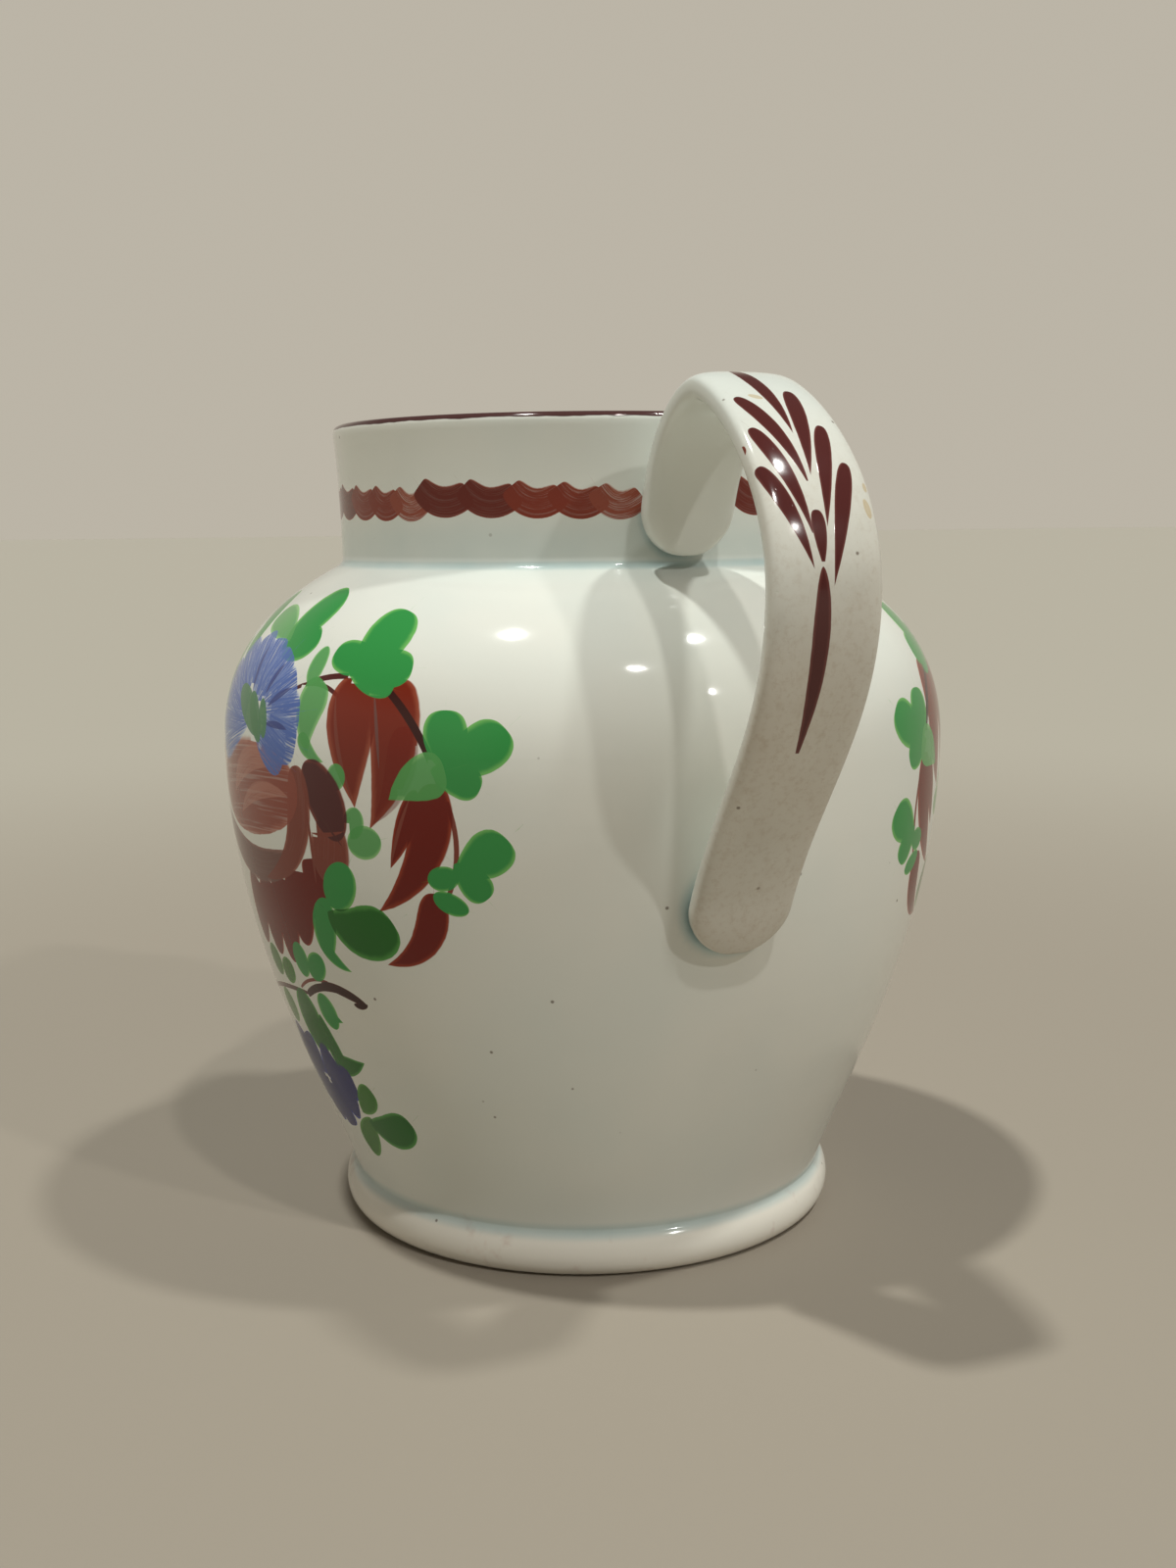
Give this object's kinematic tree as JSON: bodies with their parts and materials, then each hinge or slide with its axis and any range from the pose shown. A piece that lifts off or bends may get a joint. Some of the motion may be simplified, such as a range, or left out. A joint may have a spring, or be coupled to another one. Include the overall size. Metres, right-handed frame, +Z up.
{
  "type": "pearlware jug",
  "caption": "Round-bellied pouring jug with a short upright neck, pulled lip, tall strap handle and hand-painted flowers.",
  "frame": {"origin": "on the jug's axis, on the surface that the foot ring stands on", "axes": "+Z up along the axis of the round body, +X to the handle, -X to the pouring lip. Seen from above, +Y is a quarter turn anticlockwise from the handle"},
  "size_m": [0.1978, 0.1628, 0.1834],
  "materials": {
    "pearlware": "gloss"
  },
  "bodies": {
    "root": {"jug": "pearlware"}
  },
  "joints": []
}
